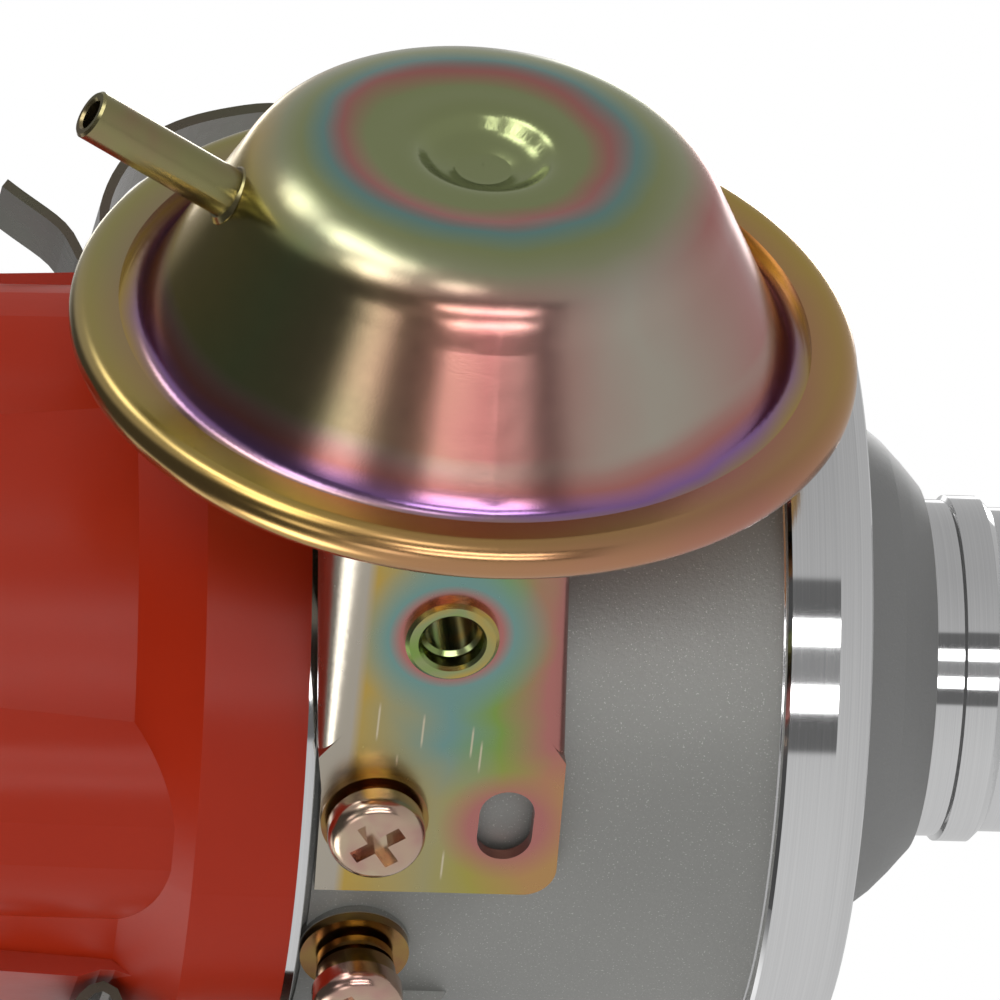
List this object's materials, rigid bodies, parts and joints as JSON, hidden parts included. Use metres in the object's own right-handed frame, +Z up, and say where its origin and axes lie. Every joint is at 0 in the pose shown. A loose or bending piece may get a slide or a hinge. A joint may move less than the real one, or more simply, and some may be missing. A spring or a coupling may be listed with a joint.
{
  "type": "ignition distributor",
  "caption": "Ignition distributor with red cap, grey cast bowl, plated vacuum advance canister with hose nipple, spring clips and a machined shank.",
  "frame": {"origin": "on the shaft axis, where the shank meets the underside of the collar that sits on the engine", "axes": "+Z up the shaft to the cap, +X square to the vacuum bracket's flat plate, +Y along the canister's axis, outward"},
  "size_m": [0.0878, 0.0986, 0.1755],
  "materials": {
    "cast_aluminium": "bead-blasted grey casting, machined band, collar and shank",
    "zinc_yellow": "iridescent yellow zinc plating",
    "cap_red": "semi-gloss moulded plastic",
    "black_plastic": "moulded, matte",
    "brass": "turned",
    "bronze": "sintered, oily",
    "steel": "machined",
    "spring_steel": "drawn wire",
    "rubber": "matte",
    "carbon": "pressed carbon",
    "felt": "felt"
  },
  "bodies": {
    "housing_body": {"housing": "cast_aluminium", "upper_bush": "bronze", "lower_bush": "bronze", "o_ring": "rubber", "lead_grommet": "rubber", "bearing_plate": "steel", "plate_screws": "steel", "retaining_ring": "spring_steel", "dust_shield": "black_plastic", "clip_pins": "zinc_yellow", "vacuum_bracket": "zinc_yellow", "bracket_eyelet": "zinc_yellow", "bracket_screw": "zinc_yellow", "side_screw": "zinc_yellow", "screw_washers": "zinc_yellow", "canister_back_shell": "zinc_yellow", "canister_front_shell": "zinc_yellow", "vacuum_nipple": "zinc_yellow", "diaphragm_rim": "rubber"},
    "cap_body": {"cap": "cap_red", "tower_terminals": "brass", "centre_contact": "brass", "carbon_brush": "carbon", "brush_spring": "spring_steel"},
    "clip_a_body": {"spring_clip_a": "zinc_yellow"},
    "clip_b_body": {"spring_clip_b": "zinc_yellow"},
    "shaft_body": {"drive_shaft": "steel", "drive_dog": "steel", "dog_pin": "steel", "thrust_washers": "steel", "weight_plate": "steel", "weight_pins": "steel", "spring_posts": "steel", "advance_spring_a": "spring_steel", "advance_spring_b": "spring_steel"},
    "weight_a_body": {"flyweight_a": "steel"},
    "weight_b_body": {"flyweight_b": "steel"},
    "cam_body": {"cam_sleeve": "steel", "felt_wick": "felt", "trigger_ring": "steel", "rotor_arm": "black_plastic", "rotor_blade": "brass"},
    "pickup_body": {"pickup_plate": "steel", "rod_pin": "steel", "pickup_module": "black_plastic", "module_screws": "steel"},
    "vacuum_body": {"pull_rod": "zinc_yellow", "diaphragm": "rubber", "diaphragm_cups": "steel", "diaphragm_spring": "spring_steel"}
  },
  "joints": [
    {"name": "drive_spin", "type": "hinge", "parent": "housing_body", "child": "shaft_body", "pos_m": [0, 0, 0], "axis": [0, 0, -1], "continuous": true},
    {"name": "advance_turn", "type": "hinge", "parent": "shaft_body", "child": "cam_body", "pos_m": [0, 0, 0.035], "axis": [0, 0, -1], "range_deg": [0, 12], "stiffness_Nm_per_rad": 0.05},
    {"name": "weight_a_swing", "type": "hinge", "parent": "shaft_body", "child": "weight_a_body", "pos_m": [0, 0.019, 0.03], "axis": [0, 0, 1], "range_deg": [0, 8.1]},
    {"name": "weight_b_swing", "type": "hinge", "parent": "shaft_body", "child": "weight_b_body", "pos_m": [0, -0.019, 0.03], "axis": [0, 0, 1], "range_deg": [0, 8.1]},
    {"name": "diaphragm_pull", "type": "slide", "parent": "housing_body", "child": "vacuum_body", "axis": [0, 1, 0], "range_m": [0, 0.0022], "stiffness_N_per_m": 1500},
    {"name": "pickup_turn", "type": "hinge", "parent": "housing_body", "child": "pickup_body", "pos_m": [0, 0, 0.046], "axis": [0, 0, 1], "range_deg": [0, 7.3]},
    {"name": "cap_lift", "type": "slide", "parent": "housing_body", "child": "cap_body", "axis": [0, 0, 1], "range_m": [0, 0.04]},
    {"name": "clip_a_swing", "type": "hinge", "parent": "housing_body", "child": "clip_a_body", "pos_m": [-0.02742, 0.02142, 0.0506], "axis": [-0.6157, -0.788, 0], "range_deg": [0, 110]},
    {"name": "clip_b_swing", "type": "hinge", "parent": "housing_body", "child": "clip_b_body", "pos_m": [0.02742, -0.02142, 0.0506], "axis": [0.6157, 0.788, 0], "range_deg": [0, 110]}
  ],
  "couplings": [
    {"joint": "weight_a_swing", "follows": "advance_turn", "ratio": 0.6667},
    {"joint": "weight_b_swing", "follows": "advance_turn", "ratio": 0.6667},
    {"joint": "pickup_turn", "follows": "diaphragm_pull", "rad_per_m": 57.14},
    {"joint": "clip_a_swing", "follows": "cap_lift", "rad_per_m": 47.9},
    {"joint": "clip_b_swing", "follows": "cap_lift", "rad_per_m": 47.9}
  ]
}
